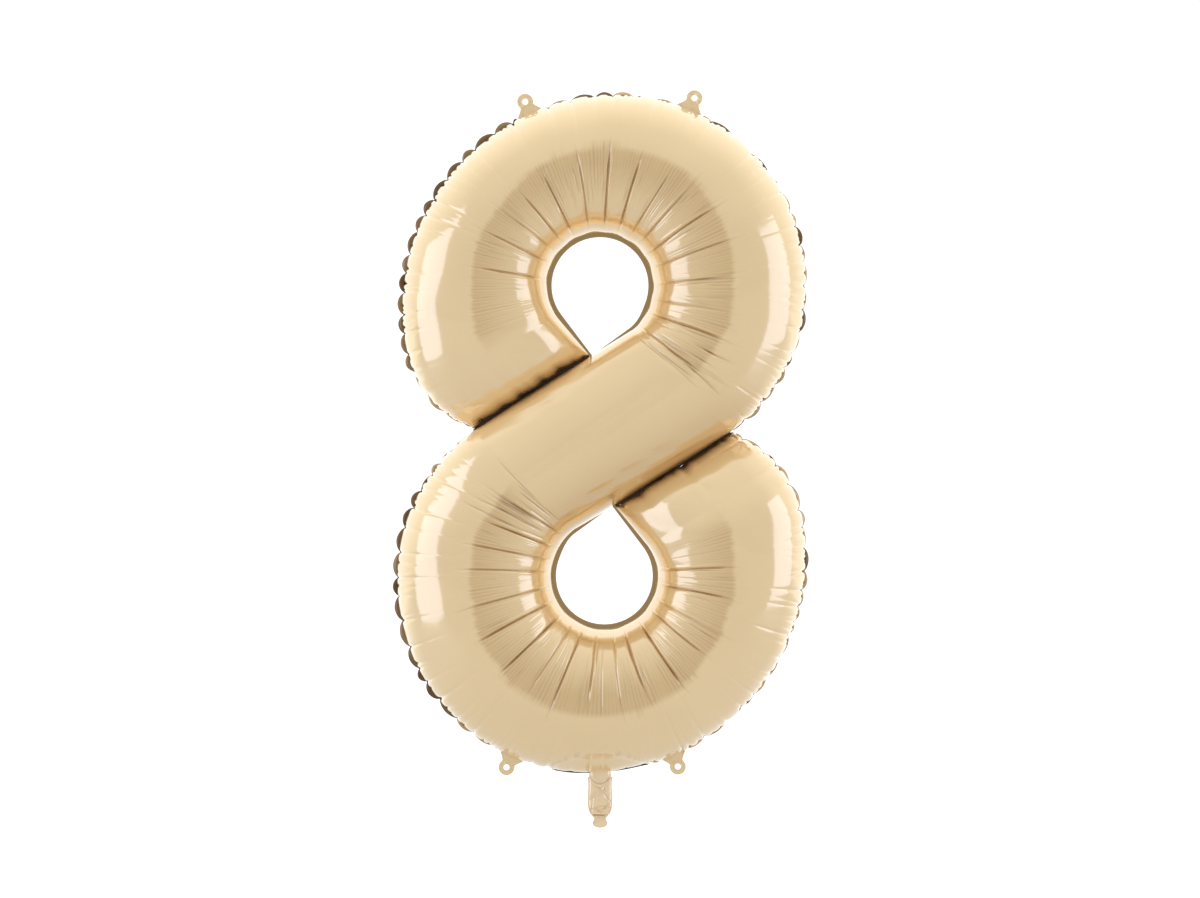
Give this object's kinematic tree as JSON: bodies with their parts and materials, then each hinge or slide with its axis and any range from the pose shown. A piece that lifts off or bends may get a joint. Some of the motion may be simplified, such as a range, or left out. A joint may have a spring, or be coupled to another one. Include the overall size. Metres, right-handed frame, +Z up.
{
  "type": "foil number balloon",
  "caption": "Inflated foil balloon in the shape of the digit eight, with four hanging tabs and a filling neck with a flat self-closing valve.",
  "frame": {"origin": "middle of the root of the filling neck, on the lower edge of the inflated body, in the seam plane", "axes": "+Z up through the digit, +X to the right as the digit reads, +Y from the front film panel to the back one"},
  "size_m": [0.5206, 0.164, 0.93],
  "materials": {
    "foil": "glossy metallised film, champagne cream",
    "weld": "glossy, heat-welded double film",
    "tab": "satin, flat welded double film",
    "valve": "satin, thin plastic film"
  },
  "bodies": {
    "balloon_body": {"front_foil_panel": "foil", "back_foil_panel": "foil", "upper_outer_weld": "weld", "lower_outer_weld": "weld", "upper_eye_weld": "weld", "lower_eye_weld": "weld", "upper_butt_weld": "weld", "lower_butt_weld": "weld", "valve_sleeve_front_film": "valve", "valve_sleeve_back_film": "valve"},
    "filling_neck": {"neck_front_film": "foil", "neck_back_film": "foil", "neck_left_weld": "weld", "neck_right_weld": "weld", "valve_tail_front_film": "valve", "valve_tail_back_film": "valve"},
    "top_left_tab": {"top_left_hanging_tab": "tab"},
    "top_right_tab": {"top_right_hanging_tab": "tab"},
    "bottom_left_tab": {"bottom_left_hanging_tab": "tab"},
    "bottom_right_tab": {"bottom_right_hanging_tab": "tab"}
  },
  "joints": [
    {"name": "top_left_tab_fold", "type": "hinge", "parent": "balloon_body", "child": "top_left_tab", "pos_m": [-0.08983, 0, 0.83871], "axis": [0.9272, 0, 0.3746], "range_deg": [-80, 80], "stiffness_Nm_per_rad": 0.0002},
    {"name": "top_right_tab_fold", "type": "hinge", "parent": "balloon_body", "child": "top_right_tab", "pos_m": [0.11418, 0, 0.84358], "axis": [0.91, 0, -0.4147], "range_deg": [-80, 80], "stiffness_Nm_per_rad": 0.0002},
    {"name": "bottom_left_tab_fold", "type": "hinge", "parent": "balloon_body", "child": "bottom_left_tab", "pos_m": [-0.1127, 0, 0.02151], "axis": [-0.9026, 0, 0.4305], "range_deg": [-80, 80], "stiffness_Nm_per_rad": 0.0002},
    {"name": "bottom_right_tab_fold", "type": "hinge", "parent": "balloon_body", "child": "bottom_right_tab", "pos_m": [0.09385, 0, 0.02271], "axis": [-0.9336, 0, -0.3584], "range_deg": [-80, 80], "stiffness_Nm_per_rad": 0.0002},
    {"name": "neck_fold", "type": "hinge", "parent": "balloon_body", "child": "filling_neck", "pos_m": [0, 0, -0.0008], "axis": [1, 0, 0], "range_deg": [-80, 80]}
  ]
}
